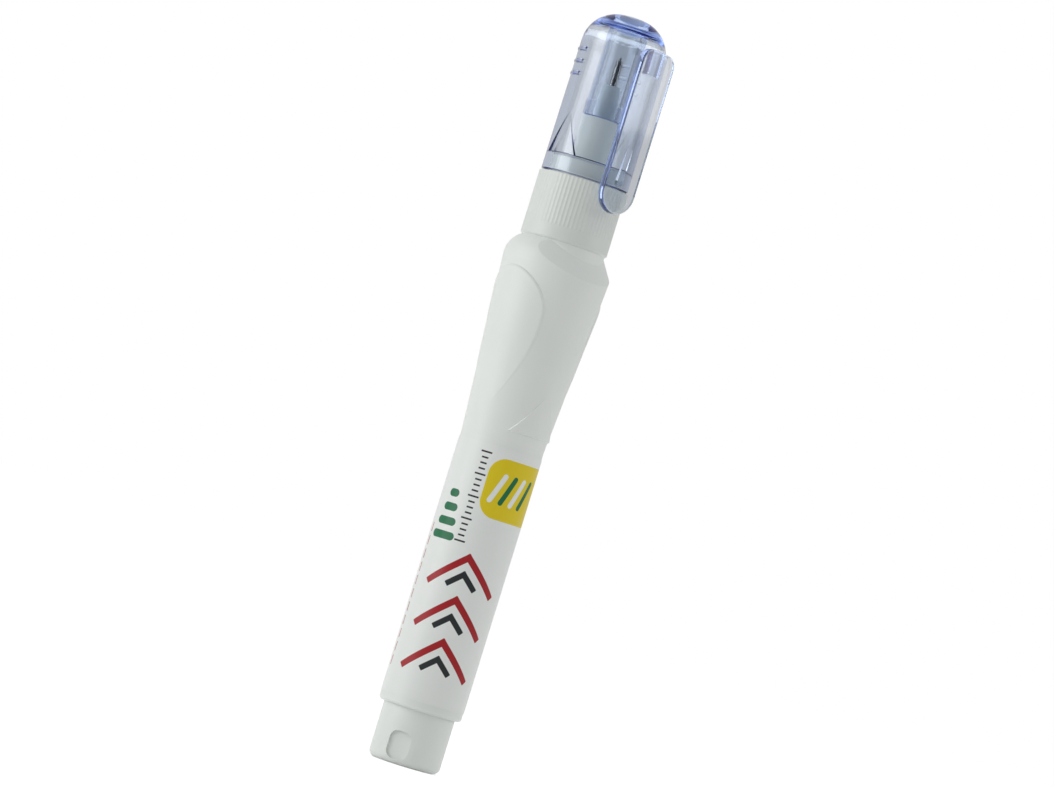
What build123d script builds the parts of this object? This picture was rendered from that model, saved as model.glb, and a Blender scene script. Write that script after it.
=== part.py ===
from build123d import *

import os
from math import sqrt, tan, radians

# A squeeze correction pen with a sprung valve tip, a clear clip cap and a rear plug.
# The rear face stands on the origin, the tip points up along +Z and the pocket clip is on the -Y side.
# Sizes are millimetres. A bore, reach or radius is measured from the pen's axis, unless its comment
# says otherwise.

# Lengths along the pen, from the rear face up
plug_length = 9.9  # rear plug that shows below the barrel
barrel_length = 48.6
grip_length = 31.7  # flare from the barrel to its widest ridge
shoulder_height = 4.1
collar_length = 11.6
mouth_gap = 0.3  # the cap stops this far above the collar
cap_length = 29.8

# Fits
press_gap = 0.02  # radial gap of pieces pressed together
slide_gap = 0.05  # radial gap of the cap on its spigot and of the valve in its bore
snap_bead = 0.2  # radius of the section of the snap beads
cut_margin = 1.0  # cutters reach this far past the surface

# Bottle
barrel_bore = 6.15
barrel_wall = 1.27
barrel_round = 0.6  # rounding of the rear rim
grip_swell = 2.18  # the ridge stands out this far beyond the barrel
shoulder_inset = 2.1  # the shoulder draws in this far from the ridge
neck_bore = 5.0
neck_wall = 1.3
neck_height = 9.0
neck_bead_rise = 3.0
cavity_ease = 6.0  # length of the cones inside the grip
cavity_swell = 0.7  # the cavity widens this far beyond the bore inside the grip

# Raised finger pads on the two sides of the grip, and the chamfer and raised wedge on the clip side
pad_rise = 0.34  # a pad's surface stands out this far at the ridge's height
pad_sink = 0.05  # and starts this far under the surface at its pointed end, as the wedge does
pad_radius = 6.9  # of its round top, seen from the side
pad_drop = 1.7  # from the ridge down to its top
pad_round = 0.5
chamfer_drop = 1.3  # the chamfer's edge dips this far below the ridge
chamfer_shift = 3.7  # the chamfer's cone is centred this far behind the axis
chamfer_angle = 32.0  # degrees from the pen's axis
wedge_rise = 2.0  # height of the wedge's lower end above the start of the grip
wedge_height = 8.1
wedge_width = 10.0
wedge_stand = 0.4  # the wedge stands out this far at its lower end
wedge_slant = 0.3  # and its lower face slants up by this much

# Rear plug
plug_shoulder = 0.25  # the plug steps out this far to seat on the barrel's rim
plug_insert = 7.0
plug_bead_rise = 3.5
plug_wall = 1.2
plug_floor = 1.6
plug_round = 1.2
pocket_width = 4.0
pocket_height = 4.9
pocket_corner = 1.4
pocket_rise = 0.9
pocket_depth = 0.8
pocket_turn = -58.0  # degrees from the clip side, towards +X

# Nozzle
collar_step = 0.2  # the collar stands out this far beyond the cap
collar_band = 2.7  # smooth band below the ribs
collar_chamfer = 0.35  # of its lower edge
rib_count = 67
rib_round = 0.6  # radius of a rib's round section
rib_rise = 0.045  # the ribs stand out this far
rib_inset = 0.01  # and stay this far inside the smooth band
spigot_length = 3.1
spigot_chamfer = 0.4
stem_radius = 3.5
tip_radius = 1.95
tip_length = 2.9
cone_length = 3.2
cone_radius = 1.45
seal_length = 6.4  # sleeve that seals inside the neck
seal_notch = 1.2  # width and depth of the flow notches in its end
neck_top_gap = 0.15
chamber_bore = 2.3
chamber_roof = 1.6  # wall between the valve chamber and the stem's top

# Needle tube and valve
needle_radius = 0.6
needle_wall = 0.22
needle_reach = 4.7  # length that stands out of the nozzle
needle_nose = 0.18  # length of the tapered nose
tip_clearance = 3.6  # air between the pin's end and the boss under the cap's crown
flange_radius = 1.4
flange_thickness = 0.7
pin_radius = 0.22
pin_reach = 0.6  # the pin stands out this far
shaft_radius = 0.32
carrier_radius = 1.5
carrier_length = 2.4
carrier_drop = 0.6  # gap from the tube's flange to the carrier
carrier_spigot = 0.8  # radius and length of the post that centres the spring
carrier_grip = 1.8  # length of the pin held in the carrier
spring_wire = 0.3
spring_radius = 1.15  # to the middle of the wire
spring_turns = 7
spring_length = 7.15
seat_thickness = 2.0
seat_hole = 0.35
seat_hole_count = 3
ball_radius = 2.5
ball_gap = 0.05

# Cap
cap_wall = 1.2
cap_draft = 0.15  # the cap narrows by this much towards its crown
cap_ledge = 0.15  # step in the bore above the spigot
mouth_round = 0.3
crown_thickness = 2.8
crown_curve = 16.0
crown_corner = 6.0
crown_corner_share = 0.85  # the corner is limited to this share of the cap's radius
roof_corner = 2.0
sleeve_radius = 3.5
sleeve_bore = 2.3
sleeve_foot = 0.15  # the sleeve's lower end, round the nozzle's tip, is this much thicker
sleeve_gap = 0.15  # between the sleeve's end and the nozzle's stem
gate_drop = 1.0  # the round boss under the crown
arch_height = 7.7
arch_width = 7.0
arch_depth = 0.55
arch_slant = 0.2  # the ledge slopes down to the surface by this much
ridge_count = 3
ridge_pitch = 2.2
ridge_round = 0.4  # radius of a ridge's round section and ends
ridge_rise = 0.14  # the ridges stand out this far
ridge_arc = 34.0
ridge_turn = 64.0  # degrees from the side opposite the clip to a ridge's middle
ridge_drop = 7.9  # from the cap's top to the first ridge

# Pocket clip
clip_gap = 1.05
clip_thickness = 1.2
clip_width = 7.7
clip_overhang = 4.6  # the clip reaches this far below the cap's mouth
clip_top_drop = 5.2
clip_corner = 2.2  # of its top, seen from the front
clip_edge = 0.3
web_width = 2.9  # web that joins the clip's top to the cap
web_height = 4.4
nub_width = 1.3
nub_height = 0.7
nub_length = 6.5
nub_rise = 0.5  # from the cap's mouth to the nub's lower end

# Label
label_thickness = 0.08
label_margin = 1.0  # barrel left bare at each end of the label
label_glue = 0.01

# Radii that follow from the sizes above
barrel_radius = barrel_bore + barrel_wall
grip_radius = barrel_radius + grip_swell
shoulder_radius = grip_radius - shoulder_inset
neck_radius = neck_bore + neck_wall
cavity_radius = barrel_bore + cavity_swell
post_radius = barrel_bore + plug_shoulder
insert_radius = barrel_bore - press_gap
spigot_radius = post_radius
cap_bore = spigot_radius + slide_gap
cap_radius = cap_bore + cap_wall
cap_top_radius = cap_radius - cap_draft
cap_inner = cap_bore - cap_ledge
collar_radius = cap_radius + collar_step
needle_bore = needle_radius - needle_wall
orifice = pin_radius + slide_gap
clip_inner = cap_radius + clip_gap

# Heights that follow from the lengths above
z_barrel = plug_length
z_grip = z_barrel + barrel_length
z_ridge = z_grip + grip_length
z_shoulder = z_ridge + shoulder_height
z_neck = z_shoulder + neck_height
z_collar = z_shoulder + collar_length
z_cap = z_collar + mouth_gap
z_top = z_cap + cap_length
z_roof = z_top - crown_thickness
z_spigot = z_cap + spigot_length
z_pin = z_roof - gate_drop - tip_clearance
z_needle = z_pin - pin_reach
z_cone = z_needle - needle_reach
z_tip = z_cone - cone_length
z_stem = z_tip - tip_length
z_deck = z_neck + neck_top_gap
z_seal = z_deck - seal_length
z_chamber = z_stem - chamber_roof
z_flange = z_chamber - flange_thickness
z_carrier = z_flange - carrier_drop - carrier_length
z_seat = z_carrier - spring_length - seat_thickness
z_sleeve = z_stem + sleeve_gap
z_clip = z_cap - clip_overhang
z_clip_top = z_top - clip_top_drop

upright = (Align.CENTER, Align.CENTER, Align.MIN)


def post(radius, low, high, mode=Mode.ADD):
    """A cylinder on the pen's axis between two heights."""
    with Locations((0, 0, low)):
        Cylinder(radius, high - low, align=upright, mode=mode)


def bead(radius, height, section, mode=Mode.ADD):
    """A round snap bead, or the groove for one, at a height."""
    with Locations((0, 0, height)):
        Torus(radius, section, mode=mode)


def turn(*outline, mode=Mode.ADD):
    """A solid turned about the pen's axis from (radius, height) points."""
    with BuildSketch(Plane.XZ) as section:
        with BuildLine():
            Polyline(*outline, close=True)
        make_face()
    revolve(section.sketch, axis=Axis.Z, mode=mode)


def pointed(width, low, high, *outline):
    """A form on the -Y side, turned from (radius, height) points and kept inside a triangle that is width
    across at its low end and comes to a point at its high end."""
    reach = max(radius for radius, height in outline) + cut_margin
    with BuildPart() as form:
        turn(*outline)
        with BuildSketch(Plane.XZ) as front:
            with BuildLine():
                Polyline((-width / 2, low), (width / 2, low), (0, high), close=True)
            make_face()
        extrude(front.sketch, amount=reach, mode=Mode.INTERSECT)
    return form.part


# One finger pad: a leaf seen from the side, round above and pointed below, that rises out of the flank
grip_slope = grip_swell / grip_length
z_wedge = z_grip + wedge_rise
wedge_rim = barrel_radius + grip_slope * wedge_rise
z_pad = z_ridge - pad_drop - pad_radius
with BuildPart() as finger_pad:
    with BuildSketch(Plane.YZ):
        with BuildLine():
            TangentArc((-pad_radius, z_pad), (0, z_wedge), tangent=(0, -1))
            ThreePointArc((-pad_radius, z_pad), (0, z_pad + pad_radius), (pad_radius, z_pad))
            TangentArc((pad_radius, z_pad), (0, z_wedge), tangent=(0, -1))
        make_face()
    extrude(amount=grip_radius + cut_margin)
    turn(
        (0, z_wedge),
        (wedge_rim - pad_sink, z_wedge),
        (grip_radius + pad_rise, z_ridge),
        (0, z_ridge),
        mode=Mode.INTERSECT,
    )
    fillet(finger_pad.faces().filter_by(GeomType.CONE)[0].edges(), radius=pad_round)

# Cutter for the shoulder's chamfer: all that lies outside a cone centred behind the axis
z_chamfer = z_ridge - chamfer_drop
chamfer_low = grip_radius + chamfer_shift
chamfer_high = chamfer_low - (z_shoulder - z_chamfer) * tan(radians(chamfer_angle))
chamfer_far = chamfer_low + grip_radius
with BuildPart() as shoulder_chamfer:
    with BuildSketch(Plane.XZ.offset(-chamfer_shift)):
        with BuildLine():
            Polyline(
                (chamfer_low, z_chamfer),
                (chamfer_far, z_chamfer),
                (chamfer_far, z_shoulder),
                (chamfer_high, z_shoulder),
                close=True,
            )
        make_face()
    revolve(axis=Axis((0, chamfer_shift, 0), (0, 0, 1)))

# Raised wedge on the clip side of the grip, which rises out of the flank from its point above
z_wedge_tip = z_wedge + wedge_height
wedge = pointed(
    wedge_width,
    z_wedge,
    z_wedge_tip,
    (0, z_wedge),
    (wedge_rim, z_wedge),
    (wedge_rim + wedge_stand, z_wedge + wedge_slant),
    (wedge_rim + grip_slope * wedge_height - pad_sink, z_wedge_tip),
    (0, z_wedge_tip),
)

# Squeeze bottle
z_plug_bead = z_barrel + plug_bead_rise
z_neck_bead = z_shoulder + neck_bead_rise
with BuildPart() as bottle:
    with BuildSketch(Plane.XZ):
        with BuildLine():
            Polyline((0, z_barrel), (barrel_radius, z_barrel), (barrel_radius, z_grip))
            flank = Line((barrel_radius, z_grip), (grip_radius, z_ridge))
            TangentArc((grip_radius, z_ridge), (shoulder_radius, z_shoulder), tangent=flank % 1)
            Polyline((shoulder_radius, z_shoulder), (0, z_shoulder), (0, z_barrel))
        make_face()
    revolve(axis=Axis.Z)
    fillet(bottle.edges().filter_by(GeomType.CIRCLE).sort_by(Axis.Z)[0], radius=barrel_round)
    with PolarLocations(0, 2):
        add(finger_pad.part)
    add(shoulder_chamfer.part, mode=Mode.SUBTRACT)
    add(wedge)
    post(shoulder_radius, z_chamfer, z_shoulder)
    post(neck_radius, z_shoulder, z_neck)
    bead(neck_radius, z_neck_bead, snap_bead)
    turn(
        (0, z_barrel),
        (barrel_bore, z_barrel),
        (barrel_bore, z_wedge_tip),
        (cavity_radius, z_wedge_tip + cavity_ease),
        (cavity_radius, z_ridge),
        (neck_bore, z_shoulder),
        (neck_bore, z_neck),
        (0, z_neck),
        mode=Mode.SUBTRACT,
    )
    bead(barrel_bore, z_plug_bead, snap_bead + press_gap, mode=Mode.SUBTRACT)
bottle.part.label = "bottle"

# Rear plug, a cup that closes the barrel and takes the cap while the pen is in use
pocket_plane = Plane.XZ.rotated((0, 0, pocket_turn)).offset(post_radius - pocket_depth)
with BuildPart() as rear_plug:
    post(post_radius, 0, z_barrel)
    fillet(rear_plug.edges().filter_by(GeomType.CIRCLE).sort_by(Axis.Z)[0], radius=plug_round)
    post(insert_radius, z_barrel, z_barrel + plug_insert)
    bead(insert_radius, z_plug_bead, snap_bead)
    post(insert_radius - plug_wall, plug_floor, z_barrel + plug_insert, mode=Mode.SUBTRACT)
    with BuildSketch(pocket_plane):
        with Locations((0, pocket_rise + pocket_height / 2)):
            RectangleRounded(pocket_width, pocket_height, pocket_corner)
    extrude(amount=pocket_depth + cut_margin, mode=Mode.SUBTRACT)
rear_plug.part.label = "rear_plug"

# Printed film round the barrel
label_inner = barrel_radius + label_glue
with BuildPart() as wrap_label:
    z_label = z_barrel + barrel_round + label_margin
    post(label_inner + label_thickness, z_label, z_grip - label_margin)
    post(label_inner, z_label, z_grip - label_margin, mode=Mode.SUBTRACT)
wrap_label.part.label = "wrap_label"

# Nozzle: ribbed collar on the neck, cap spigot, stem and tip, with the valve chamber inside
rib_reach = collar_radius - rib_inset
with BuildPart() as nozzle:
    post(collar_radius, z_shoulder, z_shoulder + collar_band)
    chamfer(nozzle.edges().filter_by(GeomType.CIRCLE).sort_by(Axis.Z)[0], length=collar_chamfer)
    with BuildSketch(Plane.XY.offset(z_shoulder + collar_band)):
        Circle(rib_reach - rib_rise)
        with PolarLocations(rib_reach - rib_round, rib_count):
            Circle(rib_round)
    extrude(amount=collar_length - collar_band)
    post(spigot_radius, z_collar, z_spigot)
    chamfer(nozzle.edges().filter_by(GeomType.CIRCLE).sort_by(Axis.Z)[-1], length=spigot_chamfer)
    post(stem_radius, z_spigot, z_stem)
    turn((0, z_stem), (tip_radius, z_stem), (tip_radius, z_tip), (cone_radius, z_cone), (0, z_cone))
    post(neck_radius + press_gap, z_shoulder, z_seal, mode=Mode.SUBTRACT)
    turn(
        (neck_bore - press_gap, z_seal),
        (neck_radius + press_gap, z_seal),
        (neck_radius + press_gap, z_deck),
        (neck_bore - press_gap, z_deck),
        mode=Mode.SUBTRACT,
    )
    bead(neck_radius, z_neck_bead, snap_bead + press_gap, mode=Mode.SUBTRACT)
    post(chamber_bore, z_seal, z_chamber, mode=Mode.SUBTRACT)
    post(needle_radius + press_gap, z_chamber, z_cone, mode=Mode.SUBTRACT)
    with Locations((0, 0, z_seal)):
        Box(2 * neck_bore, seal_notch, seal_notch, align=upright, mode=Mode.SUBTRACT)
        Box(seal_notch, 2 * neck_bore, seal_notch, align=upright, mode=Mode.SUBTRACT)
nozzle.part.label = "nozzle"

# Steel needle tube, flanged below the chamber's roof and drawn in to a lip at its nose
z_lip = z_needle - needle_nose
with BuildPart() as needle_tube:
    turn(
        (needle_bore, z_flange),
        (flange_radius, z_flange),
        (flange_radius, z_chamber),
        (needle_radius, z_chamber),
        (needle_radius, z_lip),
        (needle_bore, z_needle),
        (orifice, z_needle),
        (orifice, z_lip),
        (needle_bore, z_lip - needle_bore + orifice),
    )
needle_tube.part.label = "needle_tube"

# Valve pin, whose cone closes the lip of the tube from inside
z_pin_cone = z_lip - slide_gap
z_pin_low = z_carrier + carrier_length - carrier_grip
with BuildPart() as valve_pin:
    with BuildSketch(Plane.XZ):
        with BuildLine():
            Polyline(
                (0, z_pin),
                (0, z_pin_low),
                (shaft_radius, z_pin_low),
                (shaft_radius, z_pin_cone - shaft_radius + pin_radius),
                (pin_radius, z_pin_cone),
                (pin_radius, z_pin - pin_radius),
            )
            RadiusArc((pin_radius, z_pin - pin_radius), (0, z_pin), -pin_radius)
        make_face()
    revolve(axis=Axis.Z)
valve_pin.part.label = "valve_pin"

# Moulded carrier on the lower end of the pin
with BuildPart() as pin_carrier:
    post(carrier_radius, z_carrier, z_carrier + carrier_length)
    post(carrier_spigot, z_carrier - carrier_spigot, z_carrier)
    post(shaft_radius + press_gap, z_pin_low, z_carrier + carrier_length, mode=Mode.SUBTRACT)
pin_carrier.part.label = "pin_carrier"

# Spring seat, a pierced disc pressed into the chamber, with a post that centres the spring
with BuildPart() as spring_seat:
    post(chamber_bore - press_gap, z_seat, z_seat + seat_thickness)
    post(carrier_spigot, z_seat + seat_thickness, z_seat + seat_thickness + carrier_spigot)
    seat_hole_reach = (spring_radius + spring_wire / 2 + chamber_bore) / 2
    with BuildSketch(Plane.XY.offset(z_seat)):
        with PolarLocations(seat_hole_reach, seat_hole_count):
            Circle(seat_hole)
    extrude(amount=seat_thickness, mode=Mode.SUBTRACT)
spring_seat.part.label = "spring_seat"

# Valve spring between the seat and the carrier
z_spring = z_seat + seat_thickness + spring_wire / 2 + press_gap
spring_height = z_carrier - press_gap - spring_wire / 2 - z_spring
with BuildPart() as valve_spring:
    with BuildLine():
        coil = Helix(spring_height / spring_turns, spring_height, spring_radius, center=(0, 0, z_spring))
    with BuildSketch(Plane(origin=coil @ 0, z_dir=coil % 0)):
        Circle(spring_wire / 2)
    sweep(path=coil, is_frenet=True)
valve_spring.part.label = "valve_spring"

# Steel ball, loose in the bottle and resting on the plug's floor
with BuildPart() as agitator_ball:
    with Locations((0, 0, plug_floor + ball_radius + ball_gap)):
        Sphere(ball_radius)
agitator_ball.part.label = "agitator_ball"

# Pocket clip, a plate with a round lower end, joined to the cap by the web behind its top
with BuildPart() as clip:
    with BuildSketch(Plane.XZ.offset(clip_inner)) as outline:
        with Locations((0, z_clip + clip_width / 2)):
            Circle(clip_width / 2)
            Rectangle(clip_width, z_clip_top - z_clip - clip_width / 2, align=(Align.CENTER, Align.MIN))
        fillet(outline.vertices().group_by(Axis.Y)[-1], radius=clip_corner)
    extrude(amount=clip_thickness)
    fillet(clip.faces().sort_by(Axis.Y)[0].edges(), radius=clip_edge)
    with Locations((0, 0, z_clip_top - web_height)):
        Box(web_width, clip_inner, web_height, align=(Align.CENTER, Align.MAX, Align.MIN))
    with BuildSketch(Plane.YZ):
        with BuildLine():
            Polyline(
                (-clip_inner, z_cap + nub_rise),
                (-clip_inner + nub_height, z_cap + nub_rise),
                (-clip_inner + nub_height, z_cap + nub_rise + nub_height),
                (-clip_inner, z_cap + nub_rise + nub_length),
                close=True,
            )
        make_face()
    extrude(amount=nub_width / 2, both=True)

# Cutter for the pointed arch on two sides of the cap, which is deepest at its ledge
z_eave = z_top - crown_curve + sqrt(crown_curve**2 - cap_top_radius**2)
cap_slope = -cap_draft / (z_eave - z_cap)
arch_rim = cap_radius + cap_slope * spigot_length
arch_far = arch_rim + cut_margin
z_arch_far = z_spigot - arch_slant * cut_margin / arch_depth
z_arch_tip = z_spigot + arch_height
arch = pointed(
    arch_width,
    z_arch_far,
    z_arch_tip,
    (arch_rim - arch_depth, z_spigot + arch_slant),
    (arch_far, z_arch_far),
    (arch_far, z_arch_tip),
    (arch_rim + cap_slope * arch_height, z_arch_tip),
)

# Clear cap
with BuildPart() as cap:
    with BuildSketch(Plane.XZ) as half:
        with BuildLine():
            TangentArc((0, z_top), (cap_top_radius, z_eave), tangent=(1, 0))
            Polyline((cap_top_radius, z_eave), (cap_radius, z_cap), (0, z_cap), (0, z_top))
        make_face()
        eave = half.vertices().sort_by_distance((cap_top_radius, z_eave))[0]
        fillet(eave, radius=min(crown_corner, crown_corner_share * cap_top_radius))
        fillet(half.vertices().sort_by_distance((cap_radius, z_cap))[0], radius=mouth_round)
    revolve(axis=Axis.Z)
    with PolarLocations(0, 2, start_angle=90):
        add(arch, mode=Mode.SUBTRACT)
    for row in range(ridge_count):
        z_row = z_top - ridge_drop - row * ridge_pitch
        row_reach = cap_radius + cap_slope * (z_row - z_cap) + ridge_rise - ridge_round
        for middle in (90 - ridge_turn, 90 + ridge_turn):
            start = middle - ridge_arc / 2
            with BuildSketch(Plane.XZ.rotated((0, 0, start))):
                with Locations((row_reach, z_row)):
                    Circle(ridge_round)
            revolve(axis=Axis.Z, revolution_arc=ridge_arc)
            with Locations((0, 0, z_row)):
                with PolarLocations(row_reach, 2, start, ridge_arc, endpoint=True):
                    Sphere(ridge_round)
    add(clip.part)
    with BuildSketch(Plane.XZ):
        with BuildLine():
            Polyline((0, z_cap), (cap_bore, z_cap), (cap_bore, z_spigot), (cap_inner, z_spigot + cap_ledge))
            Polyline((cap_inner, z_spigot + cap_ledge), (cap_inner, z_roof), (0, z_roof), (0, z_cap))
        hollow = make_face()
        fillet(hollow.vertices().sort_by_distance((cap_inner, z_roof))[0], radius=roof_corner)
    revolve(axis=Axis.Z, mode=Mode.SUBTRACT)
    post(sleeve_radius, z_sleeve, z_roof)
    post(sleeve_radius + sleeve_foot, z_sleeve, z_tip)
    post(tip_radius + slide_gap, z_sleeve, z_tip, mode=Mode.SUBTRACT)
    with BuildSketch(Plane.XZ):
        with BuildLine():
            TangentArc((0, z_roof - gate_drop), (sleeve_bore, z_roof), tangent=(1, 0))
            Polyline((sleeve_bore, z_roof), (sleeve_bore, z_tip), (0, z_tip), (0, z_roof - gate_drop))
        make_face()
    revolve(axis=Axis.Z, mode=Mode.SUBTRACT)
cap.part.label = "cap"

os.makedirs("parts", exist_ok=True)
pieces = (
    bottle,
    rear_plug,
    wrap_label,
    nozzle,
    needle_tube,
    valve_pin,
    pin_carrier,
    spring_seat,
    valve_spring,
    agitator_ball,
    cap,
)
for piece in pieces:
    export_step(piece.part, f"parts/{piece.part.label}.step")

# Least gap of the spring to itself, from points along its wire that lie half a turn or more apart
steps = 40
places = range(steps * spring_turns + 1)
points = [coil @ (i / (steps * spring_turns)) for i in places]
reaches = [(points[i] - points[j]).length for i in places for j in places[i + steps // 2:]]
print("spring gap to itself", round(min(reaches) - spring_wire, 2))

# The ball rises until it meets the inner edge of the seal sleeve
z_ball_stop = z_seal - sqrt(ball_radius**2 - chamber_bore**2)
print("ball travel", round(z_ball_stop - ball_radius - ball_gap - plug_floor, 2))
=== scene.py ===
from math import cos, radians, sin

import bpy
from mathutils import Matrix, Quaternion, Vector


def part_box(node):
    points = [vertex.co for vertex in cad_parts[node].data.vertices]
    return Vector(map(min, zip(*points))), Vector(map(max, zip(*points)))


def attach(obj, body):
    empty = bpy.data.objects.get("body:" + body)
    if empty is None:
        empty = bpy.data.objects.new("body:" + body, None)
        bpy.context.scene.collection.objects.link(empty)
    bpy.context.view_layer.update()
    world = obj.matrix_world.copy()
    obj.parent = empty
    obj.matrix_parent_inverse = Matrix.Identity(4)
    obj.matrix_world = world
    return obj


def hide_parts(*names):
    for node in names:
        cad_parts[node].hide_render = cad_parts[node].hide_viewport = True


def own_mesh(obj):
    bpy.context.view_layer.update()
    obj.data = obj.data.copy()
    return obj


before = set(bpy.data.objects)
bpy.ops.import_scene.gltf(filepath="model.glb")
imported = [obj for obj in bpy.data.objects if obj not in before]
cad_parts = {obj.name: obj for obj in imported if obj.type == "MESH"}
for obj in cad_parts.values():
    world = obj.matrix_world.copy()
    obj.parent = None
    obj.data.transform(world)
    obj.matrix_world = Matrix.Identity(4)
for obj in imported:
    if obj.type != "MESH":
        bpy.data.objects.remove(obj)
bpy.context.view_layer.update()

# The pen stands on its rear face with its axis on Z, the tip up and the pocket clip on the -Y side.
MM = 0.001
UP = Vector((0, 0, 1))

# Camera: below the middle of the pen, turned from the clip side, and rolled so that the tip leans right
VIEW_TURN = radians(-42.0)
VIEW_DISTANCE = 780 * MM
VIEW_HEIGHT = 37 * MM
AIM_HEIGHT = 67.9 * MM
AIM_RIGHT = 1.59 * MM
VIEW_SPAN = 183.1 * MM  # what the frame's width spans at the pen
SENSOR_WIDTH = 36.0
NEAREST_SEEN = 10 * MM
LEAN = radians(17.15)
TOWARDS_CAMERA = Vector((sin(VIEW_TURN), -cos(VIEW_TURN), 0))
RIGHT = Vector((cos(VIEW_TURN), sin(VIEW_TURN), 0))

# The even light is strongest from low behind the pen and weakest from above the camera
LIGHT_FROM = (-TOWARDS_CAMERA - 0.35 * UP).normalized()
AMBIENT_WEAK = 0.46
AMBIENT_STRONG = 0.86

# What shiny and clear surfaces see: a pale backdrop behind the pen, and a room that is darkest to the
# right of the camera
DARK_SIDE = (TOWARDS_CAMERA + 0.6 * RIGHT).normalized()
ROOM_BEHIND = 0.62
ROOM_FRONT = 0.06
BEHIND_UP_TO = -0.8  # share of a direction that points to the dark side
FRONT_FROM = 0.9

# Floor: a wide sheet, lifted to white for the camera
FLOOR_HALF = 2.5
FLOOR_LIFT = 0.5

# The clear cap needs many passes of light through its walls
LIGHT_BOUNCES = 24


def linear(hex_colour):
    """An sRGB hex colour as linear RGBA."""
    channels = [int(hex_colour[i : i + 2], 16) / 255 for i in (1, 3, 5)]
    return [c / 12.92 if c <= 0.04045 else ((c + 0.055) / 1.055) ** 2.4 for c in channels] + [1.0]


def add(tree, kind, inputs=None, **settings):
    """Adds a node with its settings, and with a value or a feeding socket for each input named."""
    made = tree.nodes.new(kind)
    for name, value in settings.items():
        setattr(made, name, value)
    for socket, value in (inputs or {}).items():
        if isinstance(value, bpy.types.NodeSocket):
            tree.links.new(value, made.inputs[socket])
        else:
            made.inputs[socket].default_value = value
    return made


def new_material(name):
    """An empty material, with its node tree and the object's own coordinates in metres."""
    material = bpy.data.materials.new(name)
    material.use_nodes = True
    tree = material.node_tree
    tree.nodes.clear()
    place = add(tree, "ShaderNodeTexCoord").outputs["Object"]
    return material, tree, place


def per_mm(size):
    """Texture scale at which a pattern's features are this many millimetres across."""
    return 1 / (size * MM)


def dress(node, material):
    """Gives a CAD node its finish."""
    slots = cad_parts[node].data.materials
    slots.clear()
    slots.append(material)


# White mouldings, in millimetres: the waves where the wall sank, the scuffs of handling and how deep
# light passes. The blasted grain is finer on a real pen, and is drawn coarser so that it shows.
SINK_SIZE = 9.0
SINK_DEPTH = 0.02
SCUFF_SIZE = 2.5
SCUFF_GLOSS = 0.06
LIGHT_DEPTH = 0.8


def moulded_polyolefin(name, colour, shade, grain, grain_depth, roughness, milkiness):
    """White polyethylene or polypropylene from a lightly blasted mould: a satin skin with a fine grain,
    a slow waviness where the wall sank as it cooled, and a little light passing under the surface."""
    material, tree, place = new_material(name)
    flow = add(tree, "ShaderNodeTexNoise", {"Vector": place, "Scale": per_mm(SINK_SIZE), "Detail": 2.0})
    tint = add(
        tree,
        "ShaderNodeMix",
        {"Factor": flow.outputs["Fac"], "A": linear(shade), "B": linear(colour)},
        data_type="RGBA",
    )
    scuff = add(tree, "ShaderNodeTexNoise", {"Vector": place, "Scale": per_mm(SCUFF_SIZE), "Detail": 6.0})
    gloss = add(
        tree,
        "ShaderNodeMapRange",
        {
            "Value": scuff.outputs["Fac"],
            "To Min": roughness - SCUFF_GLOSS,
            "To Max": roughness + SCUFF_GLOSS,
        },
    )
    blast = add(tree, "ShaderNodeTexNoise", {"Vector": place, "Scale": per_mm(grain), "Detail": 3.0})
    wave = add(tree, "ShaderNodeBump", {"Height": flow.outputs["Fac"], "Distance": SINK_DEPTH * MM})
    relief = add(
        tree,
        "ShaderNodeBump",
        {"Height": blast.outputs["Fac"], "Distance": grain_depth * MM, "Normal": wave.outputs["Normal"]},
    )
    skin = add(
        tree,
        "ShaderNodeBsdfPrincipled",
        {
            "Base Color": tint.outputs["Result"],
            "Roughness": gloss.outputs["Result"],
            "IOR": 1.5,
            "Normal": relief.outputs["Normal"],
            "Subsurface Weight": milkiness,
            "Subsurface Radius": (1.0, 1.0, 0.9),
            "Subsurface Scale": LIGHT_DEPTH * MM,
        },
    )
    add(tree, "ShaderNodeOutputMaterial", {"Surface": skin.outputs["BSDF"]})
    return material


# Clear moulding, in millimetres: the slow flow waves in its walls and the smears of handling
FLOW_SIZE = 6.0
FLOW_DEPTH = 0.02
SMEAR_SIZE = 3.0
TINT_PER_METRE = 118.0


def clear_polystyrene():
    """Blue-tinted crystal polystyrene from a polished mould: glass-clear and hard, so edges and thick
    places gather the blue while a single wall stays nearly colourless."""
    material, tree, place = new_material("clear_polystyrene")
    flow = add(tree, "ShaderNodeTexNoise", {"Vector": place, "Scale": per_mm(FLOW_SIZE), "Detail": 1.0})
    wave = add(tree, "ShaderNodeBump", {"Height": flow.outputs["Fac"], "Distance": FLOW_DEPTH * MM})
    smear = add(tree, "ShaderNodeTexNoise", {"Vector": place, "Scale": per_mm(SMEAR_SIZE), "Detail": 4.0})
    gloss = add(
        tree,
        "ShaderNodeMapRange",
        {"Value": smear.outputs["Fac"], "To Min": 0.02, "To Max": 0.06},
    )
    skin = add(
        tree,
        "ShaderNodeBsdfPrincipled",
        {
            "Base Color": linear("#FCFDFB"),
            "Roughness": gloss.outputs["Result"],
            "IOR": 1.59,
            "Transmission Weight": 1.0,
            "Normal": wave.outputs["Normal"],
        },
    )
    tint = add(
        tree,
        "ShaderNodeVolumeAbsorption",
        {"Color": linear("#66A2EE"), "Density": TINT_PER_METRE},
    )
    add(
        tree,
        "ShaderNodeOutputMaterial",
        {"Surface": skin.outputs["BSDF"], "Volume": tint.outputs["Volume"]},
    )
    return material


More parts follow.
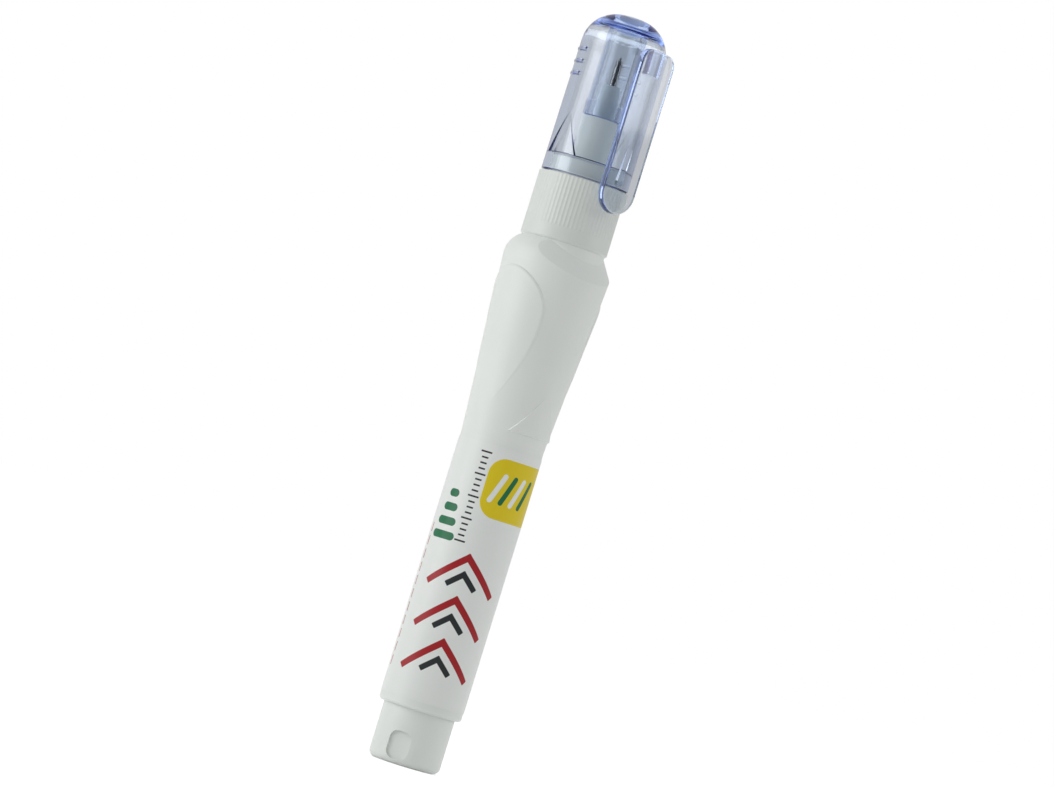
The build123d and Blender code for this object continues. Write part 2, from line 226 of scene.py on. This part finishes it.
# Steel, in millimetres: the lines of drawing or grinding are finer on a real part, and are drawn this
# wide so that they show. They run along the part for many times their width.
LINE_WIDTH = 0.12
LINE_DEPTH = 0.004
LINE_STRETCH = 0.03
LINE_GLOSS = 0.08


def drawn_stainless(name, colour, roughness):
    """Drawn or ground stainless steel: a grey metal that mirrors its surroundings softly, with fine lines
    along the drawing direction."""
    material, tree, place = new_material(name)
    along = add(tree, "ShaderNodeMapping", {"Vector": place, "Scale": (1.0, 1.0, LINE_STRETCH)})
    lines = add(
        tree,
        "ShaderNodeTexNoise",
        {"Vector": along.outputs["Vector"], "Scale": per_mm(LINE_WIDTH), "Detail": 3.0},
    )
    gloss = add(
        tree,
        "ShaderNodeMapRange",
        {
            "Value": lines.outputs["Fac"],
            "To Min": roughness - LINE_GLOSS,
            "To Max": roughness + LINE_GLOSS,
        },
    )
    relief = add(tree, "ShaderNodeBump", {"Height": lines.outputs["Fac"], "Distance": LINE_DEPTH * MM})
    skin = add(
        tree,
        "ShaderNodeBsdfPrincipled",
        {
            "Base Color": linear(colour),
            "Metallic": 1.0,
            "Roughness": gloss.outputs["Result"],
            "Normal": relief.outputs["Normal"],
        },
    )
    add(tree, "ShaderNodeOutputMaterial", {"Surface": skin.outputs["BSDF"]})
    return material


# Print on the label: a plain pattern of rounded bars, placed by millimetres round the barrel and by
# height. Zero round the barrel is at PRINT_FRONT from the clip's side. Each mark is (colour, round,
# height, half width, half height, corner radius, turn in degrees), and a later mark covers an earlier one.
PRINT_FRONT = radians(-42.0)
PRINT_BLUR = 0.03
FILM_WHITE = "#E8ECE9"
INK_YELLOW = "#E0CA18"
INK_GREEN = "#146E46"
INK_RED = "#A3161F"
INK_BLACK = "#23282A"
CHEVRON_SLOPE = 42.0
CHEVRON_CENTRE = 0.4
CHEVRON_CORNER = 0.15
CHEVRON_LOWEST = 23.0
CHEVRON_PITCH = 7.6
BADGE_HEIGHT = 50.5
BADGE_BAR_PITCH = 2.0
SCALE_FOOT = 40.0
STEP_FOOT = 40.2
STEP_PITCH = 2.5
DASH_FOOT = 17.0
RULE_FOOT = 16.0
ROW_PITCH = 2.4
BACK_ROUND = 22.0
BACK_BAR_FOOT = 45.0
BACK_BAR_PITCH = 3.0


def chevron(colour, apex, arm, half_stroke):
    """Two bars that slope down to both sides from an apex height."""
    slope = radians(CHEVRON_SLOPE)
    out = (arm - half_stroke) * cos(slope)
    middle = apex - half_stroke - (arm - half_stroke) * sin(slope)
    return [
        (
            colour,
            CHEVRON_CENTRE + out * side,
            middle,
            arm,
            half_stroke,
            CHEVRON_CORNER,
            -CHEVRON_SLOPE * side,
        )
        for side in (-1, 1)
    ]


def print_marks():
    """The marks of the label's pattern, in the order in which they are printed."""
    # Yellow badge with four slanted bars
    marks = [(INK_YELLOW, 6.4, BADGE_HEIGHT, 7.2, 5.3, 3.0, 0)]
    for bar in range(4):
        colour = INK_GREEN if bar % 2 else FILM_WHITE
        marks.append((colour, 1.6 + BADGE_BAR_PITCH * bar, BADGE_HEIGHT, 0.45, 2.9, 0.45, -20))
    # Green steps beside a scale of ticks
    for step in range(4):
        marks.append((INK_GREEN, -5.9, STEP_FOOT + STEP_PITCH * step, 2.6 - 0.5 * step, 0.7, 0.7, 0))
    for tick in range(17):
        reach = 1.0 if tick % 4 == 0 else 0.6
        marks.append((INK_BLACK, -2.1, SCALE_FOOT + tick, reach, 0.15, 0.05, 0))
    # Red chevrons, each over a small black one
    for row in range(3):
        apex = CHEVRON_LOWEST + CHEVRON_PITCH * row
        marks += chevron(INK_RED, apex, 4.6, 0.58)
        marks += chevron(INK_BLACK, apex - 3.1, 2.0, 0.5)
    # Red dashes on the left, and thin rules below two green bars on the back
    for dash in range(11):
        marks.append((INK_RED, -9.6, DASH_FOOT + ROW_PITCH * dash, 0.16, 0.85, 0.1, 0))
    for rule in range(10):
        marks.append((INK_BLACK, BACK_ROUND, RULE_FOOT + ROW_PITCH * rule, 5.5, 0.1, 0.05, 0))
    for bar in range(2):
        marks.append((INK_GREEN, BACK_ROUND, BACK_BAR_FOOT + BACK_BAR_PITCH * bar, 5.5, 0.7, 0.7, 0))
    return marks


# Unevenness of the film over its glue, in millimetres
GLUE_SIZE = 1.6
GLUE_DEPTH = 0.008


def printed_film():
    """White polypropylene film, gravure printed and glued round the barrel: flat, fairly glossy and a
    touch uneven over the glue."""
    material, tree, place = new_material("printed_film")
    label_low, label_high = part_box("wrap_label")
    label_radius = (label_high.x - label_low.x) / 2 / MM
    point = add(tree, "ShaderNodeSeparateXYZ", {"Vector": place})
    front = add(tree, "ShaderNodeMath", {0: point.outputs["Y"], 1: -1.0}, operation="MULTIPLY")
    angle = add(tree, "ShaderNodeMath", {0: point.outputs["X"], 1: front.outputs[0]}, operation="ARCTAN2")
    turned = add(tree, "ShaderNodeMath", {0: angle.outputs[0], 1: -PRINT_FRONT}, operation="ADD")
    around = add(tree, "ShaderNodeMath", {0: turned.outputs[0], 1: label_radius}, operation="MULTIPLY")
    height = add(tree, "ShaderNodeMath", {0: point.outputs["Z"], 1: MM}, operation="DIVIDE")
    flat = add(tree, "ShaderNodeCombineXYZ", {"X": around.outputs[0], "Y": height.outputs[0]})
    printed = linear(FILM_WHITE)
    for ink, at_round, at_height, half_width, half_height, corner, turn in print_marks():
        local = add(
            tree,
            "ShaderNodeMapping",
            {
                "Vector": flat.outputs[0],
                "Location": (at_round, at_height, 0),
                "Rotation": (0, 0, radians(turn)),
            },
            vector_type="TEXTURE",
        )
        reach = add(tree, "ShaderNodeVectorMath", {0: local.outputs[0]}, operation="ABSOLUTE")
        core = (half_width - corner, half_height - corner, 0)
        beyond = add(tree, "ShaderNodeVectorMath", {0: reach.outputs[0], 1: core}, operation="SUBTRACT")
        outside = add(tree, "ShaderNodeVectorMath", {0: beyond.outputs[0]}, operation="MAXIMUM")
        distance = add(tree, "ShaderNodeVectorMath", {0: outside.outputs[0]}, operation="LENGTH")
        mask = add(
            tree,
            "ShaderNodeMapRange",
            {
                "Value": distance.outputs["Value"],
                "From Min": corner + PRINT_BLUR,
                "From Max": corner - PRINT_BLUR,
            },
        )
        inked = add(
            tree,
            "ShaderNodeMix",
            {"Factor": mask.outputs["Result"], "A": printed, "B": linear(ink)},
            data_type="RGBA",
        )
        printed = inked.outputs["Result"]
    glue = add(tree, "ShaderNodeTexNoise", {"Vector": place, "Scale": per_mm(GLUE_SIZE), "Detail": 3.0})
    gloss = add(
        tree,
        "ShaderNodeMapRange",
        {"Value": glue.outputs["Fac"], "To Min": 0.28, "To Max": 0.40},
    )
    relief = add(tree, "ShaderNodeBump", {"Height": glue.outputs["Fac"], "Distance": GLUE_DEPTH * MM})
    skin = add(
        tree,
        "ShaderNodeBsdfPrincipled",
        {
            "Base Color": printed,
            "Roughness": gloss.outputs["Result"],
            "IOR": 1.49,
            "Specular IOR Level": 0.35,
            "Normal": relief.outputs["Normal"],
        },
    )
    add(tree, "ShaderNodeOutputMaterial", {"Surface": skin.outputs["BSDF"]})
    return material


def pressed_spring(material):
    """The valve spring as a copy of its CAD form with its own finish, carried by the pen's body in place of
    the hidden CAD node.
    """
    spring = bpy.data.objects.new("pressed_spring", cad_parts["valve_spring"].data.copy())
    bpy.context.scene.collection.objects.link(spring)
    spring.data.materials.clear()
    spring.data.materials.append(material)
    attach(spring, "pen")
    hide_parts("valve_spring")
    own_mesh(spring)


def dress_pen():
    """Puts each finish on its pieces."""
    bottle_skin = moulded_polyolefin(
        "blow_moulded_polyethylene",
        colour="#E9EDE9",
        shade="#E3E8E4",
        grain=0.30,
        grain_depth=0.006,
        roughness=0.42,
        milkiness=0.12,
    )
    plug_skin = moulded_polyolefin(
        "moulded_polyethylene",
        colour="#E9EDE9",
        shade="#E2E7E3",
        grain=0.25,
        grain_depth=0.005,
        roughness=0.40,
        milkiness=0.12,
    )
    nozzle_skin = moulded_polyolefin(
        "moulded_polypropylene",
        colour="#DEE3DF",
        shade="#D9DEDA",
        grain=0.25,
        grain_depth=0.004,
        roughness=0.36,
        milkiness=0.10,
    )
    acetal = moulded_polyolefin(
        "natural_acetal",
        colour="#E2E0D6",
        shade="#DAD8CE",
        grain=0.20,
        grain_depth=0.003,
        roughness=0.35,
        milkiness=0.15,
    )
    dress("bottle", bottle_skin)
    dress("rear_plug", plug_skin)
    dress("nozzle", nozzle_skin)
    dress("pin_carrier", acetal)
    dress("spring_seat", acetal)
    dress("cap", clear_polystyrene())
    dress("wrap_label", printed_film())
    dress("needle_tube", drawn_stainless("drawn_stainless_tube", "#A8A6A2", roughness=0.12))
    dress("valve_pin", drawn_stainless("drawn_stainless_wire", "#A8A6A2", roughness=0.12))
    pressed_spring(drawn_stainless("stainless_spring_wire", "#BEBCB8", roughness=0.22))
    dress("agitator_ball", drawn_stainless("ground_ball_steel", "#B8B8B8", roughness=0.18))


def background_ray(tree):
    """One for the rays that show the background: from the camera, off a shiny surface or through the cap,
    as long as they haven't met a matt surface on the way."""
    path = add(tree, "ShaderNodeLightPath")
    direct = add(
        tree,
        "ShaderNodeMath",
        {0: path.outputs["Is Camera Ray"], 1: path.outputs["Is Glossy Ray"]},
        operation="MAXIMUM",
    )
    shown = add(
        tree,
        "ShaderNodeMath",
        {0: direct.outputs[0], 1: path.outputs["Is Transmission Ray"]},
        operation="MAXIMUM",
    )
    unscattered = add(
        tree,
        "ShaderNodeMath",
        {0: path.outputs["Diffuse Depth"], 1: 0.5},
        operation="LESS_THAN",
    )
    both = add(
        tree,
        "ShaderNodeMath",
        {0: shown.outputs[0], 1: unscattered.outputs[0]},
        operation="MULTIPLY",
    )
    return both.outputs[0]


def studio_floor():
    """A plain pale floor that looks white to the camera and still takes the pen's shadow."""
    corners = [
        (-FLOOR_HALF, -FLOOR_HALF, 0),
        (FLOOR_HALF, -FLOOR_HALF, 0),
        (FLOOR_HALF, FLOOR_HALF, 0),
        (-FLOOR_HALF, FLOOR_HALF, 0),
    ]
    mesh = bpy.data.meshes.new("floor")
    mesh.from_pydata(corners, [], [(0, 1, 2, 3)])
    floor = bpy.data.objects.new("floor", mesh)
    bpy.context.scene.collection.objects.link(floor)
    material, tree, _ = new_material("white_paper")
    matt = add(tree, "ShaderNodeBsdfDiffuse", {"Color": linear("#ECECEC")})
    lift = add(tree, "ShaderNodeMath", {0: background_ray(tree), 1: FLOOR_LIFT}, operation="MULTIPLY")
    glow = add(tree, "ShaderNodeEmission", {"Strength": lift.outputs[0]})
    both = add(tree, "ShaderNodeAddShader", {0: matt.outputs[0], 1: glow.outputs[0]})
    add(tree, "ShaderNodeOutputMaterial", {"Surface": both.outputs[0]})
    mesh.materials.append(material)


def softbox(name, view_angle, distance, height, width, tall, power):
    """An area lamp at an angle round the pen from the camera, aimed at the pen's middle."""
    turn = radians(view_angle)
    place = (TOWARDS_CAMERA * cos(turn) + RIGHT * sin(turn)) * distance + UP * height
    lamp = bpy.data.lights.new(name, "AREA")
    lamp.shape = "RECTANGLE"
    lamp.size = width
    lamp.size_y = tall
    lamp.energy = power
    holder = bpy.data.objects.new(name, lamp)
    bpy.context.scene.collection.objects.link(holder)
    holder.location = place
    aim = UP * AIM_HEIGHT - place
    holder.rotation_mode = "QUATERNION"
    holder.rotation_quaternion = aim.to_track_quat("-Z", "Y")


def studio_light():
    """Even light from all round that weakens towards the camera, a strong softbox on the left and a weaker
    one on the right. The camera sees a white background, while reflections and the clear cap see the room."""
    world = bpy.data.worlds.new("studio")
    bpy.context.scene.world = world
    world.use_nodes = True
    tree = world.node_tree
    tree.nodes.clear()
    direction = add(tree, "ShaderNodeTexCoord").outputs["Generated"]
    lean = add(tree, "ShaderNodeVectorMath", {0: direction, 1: LIGHT_FROM}, operation="DOT_PRODUCT")
    ambient = add(
        tree,
        "ShaderNodeMapRange",
        {
            "Value": lean.outputs["Value"],
            "From Min": -1.0,
            "To Min": AMBIENT_WEAK,
            "To Max": AMBIENT_STRONG,
        },
    )
    darkness = add(tree, "ShaderNodeVectorMath", {0: direction, 1: DARK_SIDE}, operation="DOT_PRODUCT")
    room = add(
        tree,
        "ShaderNodeMapRange",
        {
            "Value": darkness.outputs["Value"],
            "From Min": BEHIND_UP_TO,
            "From Max": FRONT_FROM,
            "To Min": ROOM_BEHIND,
            "To Max": ROOM_FRONT,
        },
    )
    seen = add(tree, "ShaderNodeLightPath").outputs["Is Camera Ray"]
    backdrop = add(tree, "ShaderNodeMath", {0: room.outputs["Result"], 1: seen}, operation="MAXIMUM")
    strength = add(
        tree,
        "ShaderNodeMix",
        {"Factor": background_ray(tree), "A": ambient.outputs["Result"], "B": backdrop.outputs[0]},
        data_type="FLOAT",
    )
    sky = add(
        tree,
        "ShaderNodeBackground",
        {"Color": linear("#FFFFFF"), "Strength": strength.outputs["Result"]},
    )
    add(tree, "ShaderNodeOutputWorld", {"Surface": sky.outputs[0]})
    softbox("left_softbox", view_angle=-70, distance=0.5, height=0.13, width=0.36, tall=0.45, power=1.15)
    softbox("right_softbox", view_angle=85, distance=0.6, height=0.3, width=0.4, tall=0.25, power=0.52)


def studio_camera():
    """The camera at the photograph's place."""
    data = bpy.data.cameras.new("camera")
    data.sensor_width = SENSOR_WIDTH
    data.lens = SENSOR_WIDTH * VIEW_DISTANCE / VIEW_SPAN
    data.clip_start = NEAREST_SEEN
    camera = bpy.data.objects.new("camera", data)
    bpy.context.scene.collection.objects.link(camera)
    camera.location = TOWARDS_CAMERA * VIEW_DISTANCE + UP * VIEW_HEIGHT
    aim = RIGHT * AIM_RIGHT + UP * AIM_HEIGHT - camera.location
    camera.rotation_mode = "QUATERNION"
    camera.rotation_quaternion = aim.to_track_quat("-Z", "Y") @ Quaternion((0, 0, 1), LEAN)
    bpy.context.scene.camera = camera


dress_pen()
studio_floor()
studio_light()
studio_camera()
scene = bpy.context.scene
scene.view_settings.view_transform = "Standard"
scene.cycles.max_bounces = LIGHT_BOUNCES
scene.cycles.transmission_bounces = LIGHT_BOUNCES
scene.cycles.glossy_bounces = LIGHT_BOUNCES
scene.cycles.blur_glossy = 0.0
